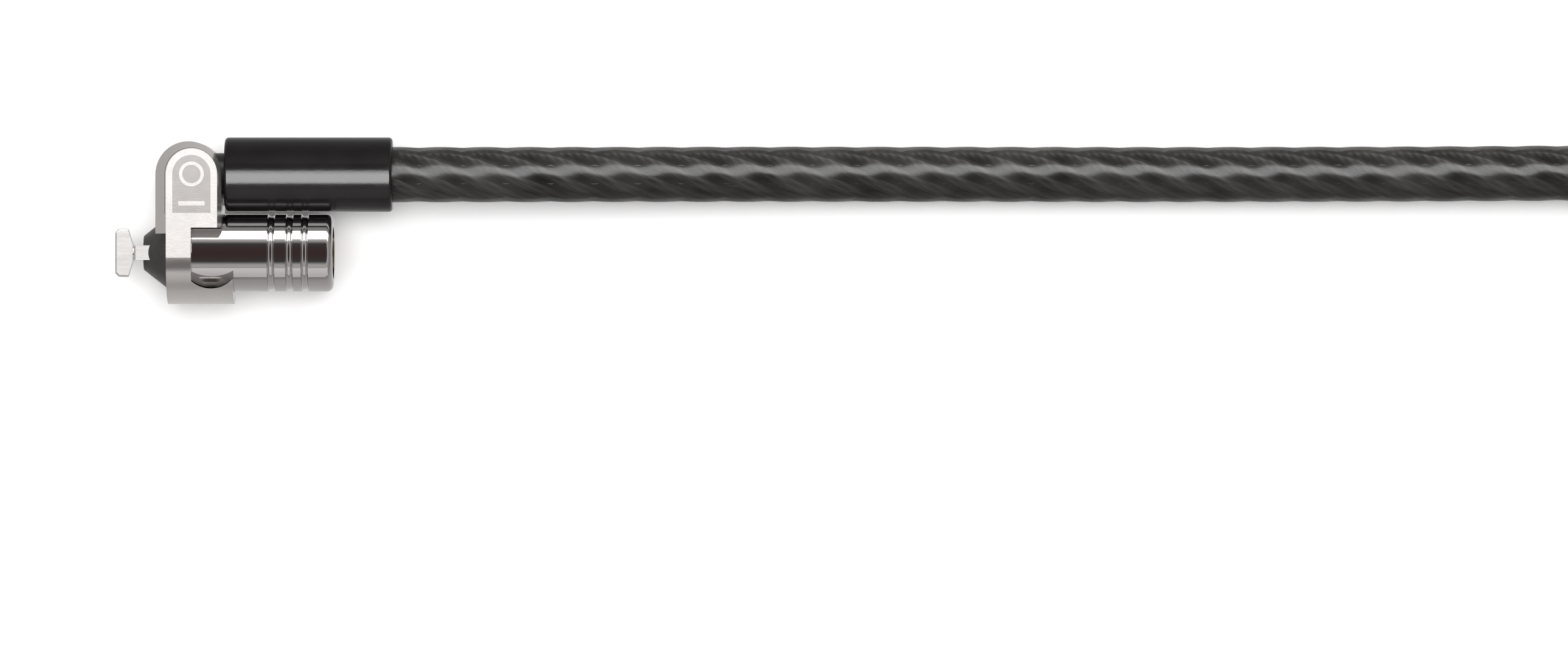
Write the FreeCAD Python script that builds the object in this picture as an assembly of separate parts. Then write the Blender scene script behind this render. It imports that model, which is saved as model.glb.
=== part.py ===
import FreeCAD
import Part
import math
import os

V = FreeCAD.Vector
X_AXIS = V(1, 0, 0)
Z_AXIS = V(0, 0, 1)

# Laptop cable lock, lying flat. All lengths are in millimetres.
# The shapes are drawn with the barrel's axis as the X axis and the tip of the T-bar at x = 0.
# +Y goes from the barrel to the cable, and +Z is up. place_on_table() moves them to the part's frame.

# ---- driving dimensions: lock head -------------------------------------------------------------
HALF_THICKNESS = 6.3        # the bracket's flat faces, above and below the barrel's axis
BARREL_R = 5.3
BARREL_BORE_R = 4.3
BARREL_START = 7.2
BARREL_END = 29.8
END_ROUND = 0.9
BARREL_GROOVES = (21.4, 23.9, 26.0)
GROOVE_WIDTH = 1.0
GROOVE_DEPTH = 0.35
SWIVEL_GAP = 0.1            # running clearance between the barrel and the bracket
KEY_NOTCH_HALF_WIDTH = 0.6
KEY_NOTCH_DEPTH = 0.55      # beyond the keyway's wall

EAR_LEFT = 5.7
EAR_RIGHT = 14.7
EAR_R = (EAR_RIGHT - EAR_LEFT) / 2
PIVOT_X = (EAR_LEFT + EAR_RIGHT) / 2
PIVOT_Y = 10.7              # distance from the barrel's axis to the cable's axis
FACE_LEFT = 7.2             # the flat face inside the ear's bevelled rim
FACE_RIGHT = 14.2
FACE_X = (FACE_LEFT + FACE_RIGHT) / 2
BEVEL_HEIGHT = 1.5
CLEVIS_HALF_GAP = 4.3
CLEVIS_FLOOR = 6.5
RING_LEFT = FACE_LEFT
RING_STEP_Y = 2.6
RING_CENTRE_Y = -0.7
RING_OVERLAP_Y = 0.8        # how far the ring's block runs up into the ear
SADDLE_RIGHT = 16.25
WINDOW_LEFT = 10.6
WINDOW_TOP = 3.4
LIP_LEFT_Y = -3.9           # the window's lower lip, from left to right
LIP_LOW_Y = -4.9
LIP_LOW_REACH = 2.6         # from the window's left side to the lip's low point
LIP_RIGHT_Y = -3.6
EMBLEM_DEPTH = 0.15
EMBLEM_R = 2.6
EMBLEM_FOOT_Y = 5.4
EMBLEM_RING_R = 1.7
EMBLEM_RING_WIDTH = 0.45
EMBLEM_BAR_HALF = 1.8
EMBLEM_BAR_RISE = 1.0       # from the field's foot to the bar
EMBLEM_BAR_WIDTH = 0.6

PIVOT_PIN_R = 1.75
PIVOT_PIN_GAP = 0.05
PIVOT_BLIND = 0.7           # wall left in front of the pivot pin
PIN_SUNK = 0.1              # from the back face to the pins' ends
RETAINER_X = 8.7
RETAINER_R = 0.8
RETAINER_OVERLAP = 0.6      # how far the retaining pin stands into the barrel's groove
WASHER_R = 3.6
WASHER_THICKNESS = 0.5

# ---- driving dimensions: bolt and nose ---------------------------------------------------------
HEAD_HALF_LENGTH = 3.3
HEAD_HALF_WIDTH = 1.3
HEAD_BACK = 2.4
HEAD_SHOULDER = 1.7
HEAD_CORNER = 0.5
HEAD_EDGE_R = 0.25
HEAD_NECK_MARGIN = 0.1      # the head's root stands this far past the neck
NECK_R = 1.0
NECK_END = 9.6
SHAFT_R = 1.5
SHAFT_END = 25.4
SHAFT_FLAT = 1.2            # from the axis to each flat
SCREW_DEPTH = 3.1
PRONG_TIP = 2.65
PRONG_INNER = 1.1
PRONG_OUTER = 2.9
PRONG_HALF_WIDTH = 1.0
PRONG_TIP_ROUND = 0.3
PRONG_ROOT = 0.5            # left clear behind each prong in the fork's plate
CONE_TIP = 3.9
CONE_TIP_R = 2.35
CONE_BASE_R = 4.95
CONE_SPIGOT_END = 8.0
FORK_PLATE_END = 9.4
SLEEVE_END = 14.4
SLEEVE_BORE_R = 3.3
STOP_CAM_START = 10.1
STOP_CAM_END = 12.4
STOP_CAM_R = 2.6
STOP_LUG_R = 3.2
STOP_RIB_BITE = 0.3         # the ribs' roots run this far into the sleeve
STOP_RIB_GAP = 0.1
THRUST_WASHER_R = 2.4
THRUST_WASHER_END = 0.5     # behind the fork's plate
STOP_LUG_HALF_ANGLE = 20
BOLT_TURN = 90
SCREW_R = 0.75
SCREW_HEAD_R = 1.4
SCREW_HEAD_TOP = 0.25       # below the post's end, as the next three are
SCREW_HEAD_UNDER = 1.05
SCREW_SOCKET_FLOOR = 0.7
SCREW_SINK_DEPTH = 1.1
SCREW_SINK_R = 1.5
SCREW_SOCKET_R = 0.65
SCREW_LENGTH = 3.0          # inside the shaft

# ---- driving dimensions: tumblers --------------------------------------------------------------
SHEAR_LINE = 22.4
SHEAR_GAP = 0.05
PLUG_END = 26.4
PLUG_R = 4.2
POST_R = 2.3
POST_END = 29.3
POST_CHAMFER = 0.3
KEYWAY_R = 3.55
KEY_SLOT_START = 0.4        # from the keyway's floor
KEY_SLOT_DEPTH = 0.6
PIN_COUNT = 8
PIN_CIRCLE_R = 2.95
CHAMBER_R = 0.55
TUMBLER_R = 0.5
TUMBLER_NOSE_R = 0.32
TUMBLER_STANDS_OUT = 0.15   # past the keyway's floor, after its whole travel
CHAMBER_MOUTH = 0.5
PIN_TRAVEL = 0.7
DRIVER_LENGTH = 1.9
CHAMBER_DEPTH = 6.3
SPRING_COIL_R = 0.36
SPRING_WIRE_R = 0.09
SPRING_END_GAP = 0.02
SPRING_TURNS = 5
HOUSING_PIN_X = 18.6
HOUSING_PIN_R = 0.6
HOUSING_PIN_DEPTH = 3.7
FIT_GAP = 0.02              # radial gap between parts pressed or slid together for good
RUNNING_GAP = 0.05          # gap round a part that turns or slides

# ---- driving dimensions: cable -----------------------------------------------------------------
CABLE_R = 3.8
BOOT_START = 15.0
BOOT_END = 37.9
BOOT_R = 5.1
BOOT_EDGE_R = 0.5
BOOT_GAP = 0.05             # between the boot and what it is moulded round
LINK_EYE_R = 3.9
LINK_SIDE_GAP = 0.1         # between the eye and each washer
LINK_EDGE_R = 0.5
LINK_NECK_R = 2.95
LINK_SHANK_END = 19.0
FERRULE_START = 16.6
FERRULE_END = 30.0
FERRULE_R = 4.0
CRIMP_STARTS = (20.4, 23.2, 26.0)
CRIMP_WIDTH = 1.6
CRIMP_DEPTH = 0.3
ROPE_R = 2.0
ROPE_GAP = 0.1              # between the shank and the rope's end
CABLE_START = 30.6
STRAIGHT_END_X = 203.0      # the cable is drawn out straight this far from the T-bar's tip
COIL_MIDDLE_R = 40.0
COIL_LAYERS = 2
COIL_TURNS_WIDE = 3
COIL_LIFT = 1.0             # the tie's strap and a little slack under the turns
TIE_WIDTH = 12.0
TIE_THICKNESS = 0.9
TIE_ANGLE = -70
TIE_CORNER_R = 2.5
TIE_GAP = 0.1               # between the tie and the bundle
BUNDLE_CORNER_R = 2.0       # where the tie squeezes it
COIL_EDGE = 0.9             # the coil's rounding, in cable radii
COIL_ASIDE = 0.6            # how far the coil lies to the side of the straight run
FERRULE_FROM_COIL = (46.2, 47.1)
LOOP_R = 14.5
LOOP_FERRULE_LENGTH = 14.0
LOOP_FERRULE_WALL = 1.1
LOOP_FERRULE_EDGE_R = 0.5
DENT_STARTS = (2.5, 6.0, 9.5)
DENT_LENGTH = 2.0
DENT_DEPTH = 0.25
LOOP_LEG_SPACING = 7.7

# ---- the part's frame: its origin is under the middle of the lock head and boot ---------------------
RING_BOTTOM_Y = RING_CENTRE_Y - HALF_THICKNESS
ORIGIN = V(BOOT_END / 2, (PIVOT_Y + EAR_R + RING_BOTTOM_Y) / 2, -HALF_THICKNESS)


def place_on_table(shape):
    placed = shape.copy()
    placed.translate(-1 * ORIGIN)
    return placed


# ---- small helpers ------------------------------------------------------------------------------
def rod(start, end, radius, y=0.0, z=0.0):
    """A cylinder along X."""
    return Part.makeCylinder(radius, end - start, V(start, y, z), X_AXIS)


def tube(start, end, outer, inner):
    return rod(start, end, outer).cut(rod(start - 1, end + 1, inner))


def upright(radius, x, y, bottom, top):
    """A cylinder along Z."""
    return Part.makeCylinder(radius, top - bottom, V(x, y, bottom), Z_AXIS)


def block(low, high):
    size = [h - l for l, h in zip(low, high)]
    return Part.makeBox(*size, V(*low))


def turned(profile):
    """A solid of revolution about X from (x, radius) points."""
    points = [V(x, 0, r) for x, r in profile]
    face = Part.Face(Part.makePolygon(points + points[:1]))
    return face.revolve(V(0, 0, 0), X_AXIS, 360)


def edges_where(shape, test):
    return [e for e in shape.Edges if test(e)]


def arc_edge(start, through, end):
    return Part.Arc(V(*start), V(*through), V(*end)).toShape()


def line_edge(start, end):
    return Part.LineSegment(V(*start), V(*end)).toShape()


def around_axis(shape, count, first_angle):
    """Copies of a solid, evenly spaced about the barrel's axis."""
    copies = []
    for n in range(count):
        copy = shape.copy()
        copy.rotate(V(0, 0, 0), X_AXIS, first_angle + 360 * n / count)
        copies.append(copy)
    return Part.makeCompound(copies)


def pin_places(shape):
    """The tumblers' places: half a pitch off the prongs."""
    return around_axis(shape, PIN_COUNT, 180 / PIN_COUNT)


# ---- bracket --------------------------------------------------------------------------------------
def ear_outline(left, right, z):
    """The ear's outline seen from above, square at its foot and half round about the pivot."""
    corners = [
        (left, PIVOT_Y, z),
        (left, RING_STEP_Y, z),
        (right, RING_STEP_Y, z),
        (right, PIVOT_Y, z),
    ]
    edges = [line_edge(a, b) for a, b in zip(corners, corners[1:])]
    top = ((left + right) / 2, PIVOT_Y + (right - left) / 2, z)
    edges.append(arc_edge(corners[-1], top, corners[0]))
    return Part.Wire(edges)


def ear():
    """The round-topped ear. Both its rims are bevelled, wide towards the T-bar."""
    waist = HALF_THICKNESS - BEVEL_HEIGHT
    solid = Part.Face(ear_outline(EAR_LEFT, EAR_RIGHT, -waist)).extrude(V(0, 0, 2 * waist))
    for side in (-1, 1):
        outer = ear_outline(EAR_LEFT, EAR_RIGHT, side * waist)
        inner = ear_outline(FACE_LEFT, FACE_RIGHT, side * HALF_THICKNESS)
        solid = solid.fuse(Part.makeLoft([outer, inner], True, True))
    return solid


def ring_outline():
    """The ring and the saddle under the barrel, seen from above."""
    bottom = RING_BOTTOM_Y - 1
    top = RING_STEP_Y + RING_OVERLAP_Y
    corners = [
        (RING_LEFT, top),
        (RING_LEFT, bottom),
        (SADDLE_RIGHT, bottom),
        (SADDLE_RIGHT, RING_CENTRE_Y),
        (EAR_RIGHT, RING_CENTRE_Y),
        (EAR_RIGHT, top),
        (RING_LEFT, top),
    ]
    face = Part.Face(Part.makePolygon([V(x, y, -HALF_THICKNESS) for x, y in corners]))
    return face.extrude(V(0, 0, 2 * HALF_THICKNESS))


def bracket_section():
    """The bracket seen along the barrel: two flats closed by a half round."""
    left = EAR_LEFT - 1
    top = PIVOT_Y + EAR_R + 1
    half = HALF_THICKNESS
    edges = [
        line_edge((left, top, -half), (left, RING_CENTRE_Y, -half)),
        arc_edge(
            (left, RING_CENTRE_Y, -half), (left, RING_BOTTOM_Y, 0), (left, RING_CENTRE_Y, half)
        ),
        line_edge((left, RING_CENTRE_Y, half), (left, top, half)),
        line_edge((left, top, half), (left, top, -half)),
    ]
    return Part.Face(Part.Wire(edges)).extrude(V(SADDLE_RIGHT - left + 1, 0, 0))


def window():
    """The opening that shows the barrel: square at the ring, with a sagging lower lip."""
    right = SADDLE_RIGHT + 1
    lip_left = (WINDOW_LEFT, LIP_LEFT_Y, 0)
    lip_middle = (WINDOW_LEFT + LIP_LOW_REACH, LIP_LOW_Y, 0)
    lip_right = (SADDLE_RIGHT, LIP_RIGHT_Y, 0)
    edges = [
        line_edge((WINDOW_LEFT, WINDOW_TOP, 0), lip_left),
        arc_edge(lip_left, lip_middle, lip_right),
        line_edge(lip_right, (right, LIP_RIGHT_Y, 0)),
        line_edge((right, LIP_RIGHT_Y, 0), (right, WINDOW_TOP, 0)),
        line_edge((right, WINDOW_TOP, 0), (WINDOW_LEFT, WINDOW_TOP, 0)),
    ]
    return Part.Face(Part.Wire(edges)).extrude(V(0, 0, HALF_THICKNESS + 1))


def emblem():
    """A plain sunk field on the ear's front: a small round-topped panel with a raised ring."""
    low = HALF_THICKNESS - EMBLEM_DEPTH
    left = FACE_X - EMBLEM_R
    right = FACE_X + EMBLEM_R
    edges = [
        line_edge((left, PIVOT_Y, low), (left, EMBLEM_FOOT_Y, low)),
        line_edge((left, EMBLEM_FOOT_Y, low), (right, EMBLEM_FOOT_Y, low)),
        line_edge((right, EMBLEM_FOOT_Y, low), (right, PIVOT_Y, low)),
        arc_edge((right, PIVOT_Y, low), (FACE_X, PIVOT_Y + EMBLEM_R, low), (left, PIVOT_Y, low)),
    ]
    field = Part.Face(Part.Wire(edges)).extrude(V(0, 0, 1))
    ring = upright(EMBLEM_RING_R, FACE_X, PIVOT_Y, low, low + 2).cut(
        upright(EMBLEM_RING_R - EMBLEM_RING_WIDTH, FACE_X, PIVOT_Y, low - 1, low + 3)
    )
    bar_low = EMBLEM_FOOT_Y + EMBLEM_BAR_RISE
    bar = block(
        (FACE_X - EMBLEM_BAR_HALF, bar_low, low),
        (FACE_X + EMBLEM_BAR_HALF, bar_low + EMBLEM_BAR_WIDTH, low + 2),
    )
    return field.cut(ring).cut(bar)


def pivot_pin_top():
    return HALF_THICKNESS - PIVOT_BLIND


def retainer_centre_y():
    return BARREL_R - RETAINER_OVERLAP + RETAINER_R


def bracket():
    body = ring_outline().common(bracket_section()).fuse(ear())
    bore = rod(EAR_LEFT - 1, SADDLE_RIGHT + 1, BARREL_R + SWIVEL_GAP)
    slot = block(
        (EAR_LEFT - 1, CLEVIS_FLOOR, -CLEVIS_HALF_GAP),
        (EAR_RIGHT + 1, PIVOT_Y + EAR_R + 1, CLEVIS_HALF_GAP),
    )
    body = body.cut(bore).cut(slot).cut(window()).cut(emblem())
    pin_hole = upright(PIVOT_PIN_R, PIVOT_X, PIVOT_Y, -HALF_THICKNESS - 1, pivot_pin_top())
    retainer_hole = upright(
        RETAINER_R, RETAINER_X, retainer_centre_y(), -HALF_THICKNESS - 1, pivot_pin_top()
    )
    return body.cut(pin_hole).cut(retainer_hole).removeSplitter()


def pivot_pin():
    return upright(PIVOT_PIN_R, PIVOT_X, PIVOT_Y, -HALF_THICKNESS + PIN_SUNK, pivot_pin_top())


def retaining_pin():
    return upright(
        RETAINER_R, RETAINER_X, retainer_centre_y(), -HALF_THICKNESS + PIN_SUNK, pivot_pin_top()
    )


def pivot_washers():
    """One washer between each cheek and the link's eye."""
    washers = []
    for bottom in (-CLEVIS_HALF_GAP, CLEVIS_HALF_GAP - WASHER_THICKNESS):
        top = bottom + WASHER_THICKNESS
        hole = upright(PIVOT_PIN_R + PIVOT_PIN_GAP, PIVOT_X, PIVOT_Y, bottom - 1, top + 1)
        washers.append(upright(WASHER_R, PIVOT_X, PIVOT_Y, bottom, top).cut(hole))
    return Part.makeCompound(washers)


# ---- barrel and nose ------------------------------------------------------------------------------
def round_groove(middle):
    """A groove of round section that runs once round the barrel."""
    half = GROOVE_WIDTH / 2
    section_r = (half**2 + GROOVE_DEPTH**2) / (2 * GROOVE_DEPTH)
    return Part.makeTorus(
        BARREL_R - GROOVE_DEPTH + section_r, section_r, V(middle, 0, 0), X_AXIS
    )


def barrel_shell():
    shell = rod(BARREL_START, BARREL_END, BARREL_R)
    rims = edges_where(shell, lambda e: e.BoundBox.XMin > BARREL_END - 0.01)
    shell = shell.makeFillet(END_ROUND, rims)
    lip_start = PLUG_END + SHEAR_GAP
    shell = shell.cut(rod(BARREL_START - 1, lip_start, BARREL_BORE_R))
    shell = shell.cut(rod(lip_start - 1, BARREL_END + 1, KEYWAY_R))
    for middle in BARREL_GROOVES:
        shell = shell.cut(round_groove(middle))
    swivel_groove = tube(
        RETAINER_X - RETAINER_R - SWIVEL_GAP,
        RETAINER_X + RETAINER_R + SWIVEL_GAP,
        BARREL_R + 1,
        BARREL_R - RETAINER_OVERLAP - SWIVEL_GAP,
    )
    key_notch = block(
        (lip_start - 1, -KEY_NOTCH_HALF_WIDTH, 0),
        (BARREL_END + 1, KEY_NOTCH_HALF_WIDTH, KEYWAY_R + KEY_NOTCH_DEPTH),
    )
    pin_hole = upright(HOUSING_PIN_R, HOUSING_PIN_X, 0, -BARREL_R - 1, 0)
    return shell.cut(swivel_groove).cut(key_notch).cut(pin_hole)


def prongs(clearance=0.0):
    """The two flat prongs that stand in the slot beside the neck."""
    pair = []
    for side in (-1, 1):
        inner = side * (PRONG_INNER - clearance)
        outer = side * (PRONG_OUTER + clearance)
        half = PRONG_HALF_WIDTH + clearance
        low = (PRONG_TIP - clearance, -half, min(inner, outer))
        high = (FORK_PLATE_END - PRONG_ROOT, half, max(inner, outer))
        pair.append(block(low, high))
    return pair


def prong_fork():
    """A round plate with two prongs, behind the nose cone."""
    fork = rod(CONE_SPIGOT_END, FORK_PLATE_END, BARREL_BORE_R - FIT_GAP)
    for prong in prongs():
        tip = edges_where(prong, lambda e: e.BoundBox.XMax < PRONG_TIP + 0.01)
        fork = fork.fuse(prong.makeFillet(PRONG_TIP_ROUND, tip))
    return fork.cut(rod(PRONG_TIP - 1, NECK_END, NECK_R + FIT_GAP)).removeSplitter()


def nose_cone():
    cone = turned(
        [
            (CONE_TIP, 0),
            (CONE_TIP, CONE_TIP_R),
            (BARREL_START, CONE_BASE_R),
            (BARREL_START, BARREL_BORE_R - FIT_GAP),
            (CONE_SPIGOT_END, BARREL_BORE_R - FIT_GAP),
            (CONE_SPIGOT_END, 0),
        ]
    )
    for prong in prongs(FIT_GAP):
        cone = cone.cut(prong)
    return cone.cut(rod(CONE_TIP - 1, CONE_SPIGOT_END + 1, NECK_R + 2 * FIT_GAP))


def sector(radius, start, end, middle_angle, half_angle):
    """A slice of a disc about X. Angles are from +Y towards +Z."""
    slice_ = Part.makeCylinder(radius, end - start, V(start, 0, 0), X_AXIS, 2 * half_angle)
    turn = middle_angle - half_angle
    # makeCylinder along +X starts its sweep at -Z
    slice_.rotate(V(0, 0, 0), X_AXIS, turn + 90)
    return slice_


def stop_sleeve():
    """Spacer between the fork and the tumblers. Its ribs stop the bolt after a quarter turn."""
    sleeve = tube(FORK_PLATE_END, SLEEVE_END, BARREL_BORE_R - FIT_GAP, SLEEVE_BORE_R)
    ring = tube(STOP_CAM_START, STOP_CAM_END, SLEEVE_BORE_R + STOP_RIB_BITE, STOP_CAM_R + STOP_RIB_GAP)
    free_half = STOP_LUG_HALF_ANGLE + BOLT_TURN / 2 + 1
    for side in (0, 180):
        gap = sector(
            SLEEVE_BORE_R + 1, STOP_CAM_START - 1, STOP_CAM_END + 1, side + BOLT_TURN / 2, free_half
        )
        ring = ring.cut(gap)
    return sleeve.fuse(ring).removeSplitter()


# ---- bolt -------------------------------------------------------------------------------------------
def head_profile():
    half = HEAD_HALF_LENGTH
    return [
        (0, half - HEAD_CORNER),
        (HEAD_CORNER, half),
        (HEAD_SHOULDER, half),
        (HEAD_BACK, NECK_R + HEAD_NECK_MARGIN),
        (HEAD_BACK, -NECK_R - HEAD_NECK_MARGIN),
        (HEAD_SHOULDER, -half),
        (HEAD_CORNER, -half),
        (0, -half + HEAD_CORNER),
    ]


def t_bar_spindle():
    """The T-head, its neck and the long shaft with two flats at the key end."""
    points = [V(x, y, -HEAD_HALF_WIDTH) for x, y in head_profile()]
    head = Part.Face(Part.makePolygon(points + points[:1])).extrude(V(0, 0, 2 * HEAD_HALF_WIDTH))
    front = edges_where(head, lambda e: e.BoundBox.XMax < HEAD_SHOULDER + 0.01)
    head = head.makeFillet(HEAD_EDGE_R, front)
    neck = rod(HEAD_BACK - 1, NECK_END, NECK_R)
    shaft = rod(NECK_END, SHAFT_END, SHAFT_R)
    spindle = head.fuse(neck).fuse(shaft).removeSplitter()
    for start, end in ((STOP_CAM_START, STOP_CAM_END), (SHEAR_LINE + SHEAR_GAP, SHAFT_END)):
        for side in (-1, 1):
            near, far = sorted((side * SHAFT_FLAT, side * 2 * SHAFT_R))
            spindle = spindle.cut(block((start, near, -3), (end, far, 3)))
    return spindle.cut(rod(SHAFT_END - SCREW_DEPTH, SHAFT_END + 1, SCREW_R + 0.01))


def double_d_bore(start, end):
    """The hole that fits the shaft's two flats."""
    half = SHAFT_FLAT + FIT_GAP
    return rod(start, end, SHAFT_R + FIT_GAP).common(block((start, -half, -3), (end, half, 3)))


def stop_cam():
    cam = rod(STOP_CAM_START, STOP_CAM_END, STOP_CAM_R)
    for side in (0, 180):
        lug = sector(STOP_LUG_R, STOP_CAM_START, STOP_CAM_END, side, STOP_LUG_HALF_ANGLE)
        cam = cam.fuse(lug)
    return cam.cut(double_d_bore(STOP_CAM_START, STOP_CAM_END)).removeSplitter()


def thrust_washer():
    start = FORK_PLATE_END + RUNNING_GAP
    end = FORK_PLATE_END + THRUST_WASHER_END
    return tube(start, end, THRUST_WASHER_R, SHAFT_R + RUNNING_GAP)


def key_plug():
    """Turns with the key. Its front half of the pin chambers opens at the bottom of the keyway."""
    start = SHEAR_LINE + SHEAR_GAP
    plug = turned(
        [
            (start, 0),
            (start, PLUG_R),
            (PLUG_END, PLUG_R),
            (PLUG_END, POST_R),
            (POST_END - POST_CHAMFER, POST_R),
            (POST_END, POST_R - POST_CHAMFER),
            (POST_END, 0),
        ]
    )
    chamber = rod(start - 1, PLUG_END - CHAMBER_MOUTH, CHAMBER_R, y=PIN_CIRCLE_R)
    mouth = rod(start, PLUG_END + 1, TUMBLER_NOSE_R + RUNNING_GAP, y=PIN_CIRCLE_R)
    plug = plug.cut(pin_places(chamber)).cut(pin_places(mouth))
    plug = plug.cut(double_d_bore(start - 1, SHAFT_END))
    screw_hole = rod(SHAFT_END - 1, POST_END + 1, SCREW_R + RUNNING_GAP)
    screw_sink = rod(POST_END - SCREW_SINK_DEPTH, POST_END + 1, SCREW_SINK_R)
    key_slot = block(
        (PLUG_END + KEY_SLOT_START, -KEY_NOTCH_HALF_WIDTH, POST_R - KEY_SLOT_DEPTH),
        (POST_END + 1, KEY_NOTCH_HALF_WIDTH, POST_R + 1),
    )
    return plug.cut(screw_hole).cut(screw_sink).cut(key_slot)


def plug_screw():
    """Holds the plug on the shaft's end. It has a hexagon socket."""
    under = POST_END - SCREW_HEAD_UNDER
    head = rod(under, POST_END - SCREW_HEAD_TOP, SCREW_HEAD_R)
    corners = []
    for degrees in range(0, 361, 60):
        angle = math.radians(degrees)
        y, z = SCREW_SOCKET_R * math.cos(angle), SCREW_SOCKET_R * math.sin(angle)
        corners.append(V(POST_END - SCREW_SOCKET_FLOOR, y, z))
    socket = Part.Face(Part.makePolygon(corners)).extrude(V(2, 0, 0))
    return head.cut(socket).fuse(rod(SHAFT_END - SCREW_LENGTH, under, SCREW_R))


# ---- tumblers ---------------------------------------------------------------------------------------
def tumbler_housing():
    """Fixed in the shell. Its chambers hold the driver pins and their springs."""
    start = SLEEVE_END
    housing = tube(start, SHEAR_LINE, BARREL_BORE_R - FIT_GAP, SHAFT_R + RUNNING_GAP)
    chamber = rod(SHEAR_LINE - CHAMBER_DEPTH, SHEAR_LINE + 1, CHAMBER_R, y=PIN_CIRCLE_R)
    pin_hole = upright(HOUSING_PIN_R, HOUSING_PIN_X, 0, -BARREL_R, -HOUSING_PIN_DEPTH)
    return housing.cut(pin_places(chamber)).cut(pin_hole)


def housing_pin():
    return upright(HOUSING_PIN_R, HOUSING_PIN_X, 0, -BARREL_R + RUNNING_GAP, -HOUSING_PIN_DEPTH)


def key_pins():
    start = SHEAR_LINE + SHEAR_GAP
    nose_end = PLUG_END - PIN_TRAVEL + TUMBLER_STANDS_OUT
    body_end = PLUG_END - CHAMBER_MOUTH - PIN_TRAVEL - RUNNING_GAP
    body = rod(start, body_end, TUMBLER_R, y=PIN_CIRCLE_R)
    nose = rod(body_end, nose_end, TUMBLER_NOSE_R, y=PIN_CIRCLE_R)
    return pin_places(body.fuse(nose))


def driver_pins():
    return pin_places(rod(SHEAR_LINE - DRIVER_LENGTH, SHEAR_LINE, TUMBLER_R, y=PIN_CIRCLE_R))


def tumbler_springs():
    """Coil springs behind the driver pins, squeezed as they are with the key in."""
    room = CHAMBER_DEPTH - DRIVER_LENGTH - 2 * (SPRING_WIRE_R + SPRING_END_GAP)
    helix = Part.makeHelix(room / SPRING_TURNS, room, SPRING_COIL_R)
    section = Part.Wire(
        Part.Circle(V(SPRING_COIL_R, 0, 0), V(0, 1, 0), SPRING_WIRE_R).toShape()
    )
    spring = Part.Wire(helix).makePipeShell([section], True, True)
    spring.rotate(V(0, 0, 0), V(0, 1, 0), 90)
    seat = SHEAR_LINE - CHAMBER_DEPTH + SPRING_WIRE_R + SPRING_END_GAP
    spring.translate(V(seat, PIN_CIRCLE_R, 0))
    return pin_places(spring)


# ---- cable end ----------------------------------------------------------------------------------------
def at_cable_axis(shape):
    moved = shape.copy()
    moved.translate(V(0, PIVOT_Y, 0))
    return moved


def swivel_link():
    """The eye in the clevis, its neck and the shank inside the boot."""
    half = CLEVIS_HALF_GAP - WASHER_THICKNESS - LINK_SIDE_GAP
    eye = upright(LINK_EYE_R, PIVOT_X, 0, -half, half)
    eye = eye.makeFillet(LINK_EDGE_R, edges_where(eye, lambda e: e.BoundBox.ZLength < 0.01))
    shank = rod(PIVOT_X, LINK_SHANK_END, LINK_NECK_R)
    hole = upright(PIVOT_PIN_R + PIVOT_PIN_GAP, PIVOT_X, 0, -10, 10)
    return at_cable_axis(eye.fuse(shank).cut(hole))


def crimp_ferrule():
    """Steel tube crimped round the link's shank and the bare rope."""
    body = rod(FERRULE_START, FERRULE_END, FERRULE_R)
    body = body.cut(rod(FERRULE_START - 1, LINK_SHANK_END + FIT_GAP, LINK_NECK_R + FIT_GAP))
    body = body.cut(rod(LINK_SHANK_END, FERRULE_END + 1, ROPE_R + FIT_GAP))
    for start in CRIMP_STARTS:
        body = body.cut(tube(start, start + CRIMP_WIDTH, FERRULE_R + 1, FERRULE_R - CRIMP_DEPTH))
    return at_cable_axis(body)


def rope_end():
    return at_cable_axis(rod(LINK_SHANK_END + ROPE_GAP, CABLE_START, ROPE_R))


def boot():
    body = rod(BOOT_START, BOOT_END, BOOT_R)
    body = body.makeFillet(BOOT_EDGE_R, edges_where(body, lambda e: e.BoundBox.XLength < 0.01))
    body = body.cut(rod(BOOT_START - 1, FERRULE_START, LINK_NECK_R + BOOT_GAP))
    pocket = rod(FERRULE_START - 2 * BOOT_GAP, FERRULE_END + 2 * BOOT_GAP, FERRULE_R + BOOT_GAP)
    body = body.cut(pocket)
    body = body.cut(rod(FERRULE_END, BOOT_END + 1, CABLE_R + BOOT_GAP))
    return at_cable_axis(body)


# ---- cable ----------------------------------------------------------------------------------------------
FLOOR_Z = -HALF_THICKNESS
CABLE_Z = FLOOR_Z + CABLE_R
CABLE_D = 2 * CABLE_R
COIL_OUTER_TURN_R = COIL_MIDDLE_R + COIL_TURNS_WIDE * CABLE_D / 2
COIL_INNER_TURN_R = COIL_MIDDLE_R - COIL_TURNS_WIDE * CABLE_D / 2
COIL_OUTSIDE_R = COIL_OUTER_TURN_R + CABLE_R
COIL_X = STRAIGHT_END_X + COIL_OUTSIDE_R
COIL_Y = PIVOT_Y - COIL_OUTER_TURN_R + COIL_ASIDE
COIL_TOP = FLOOR_Z + COIL_LIFT + COIL_LAYERS * CABLE_D
FIRST_LAYER_Z = CABLE_Z + COIL_LIFT
TOP_LAYER_Z = FIRST_LAYER_Z + (COIL_LAYERS - 1) * CABLE_D
LOOP_Z = CABLE_Z + LOOP_FERRULE_WALL
FERRULE_AT = V(COIL_X + FERRULE_FROM_COIL[0], COIL_Y + FERRULE_FROM_COIL[1], LOOP_Z)
FERRULE_HEADING = -15.0     # degrees from +X


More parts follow.
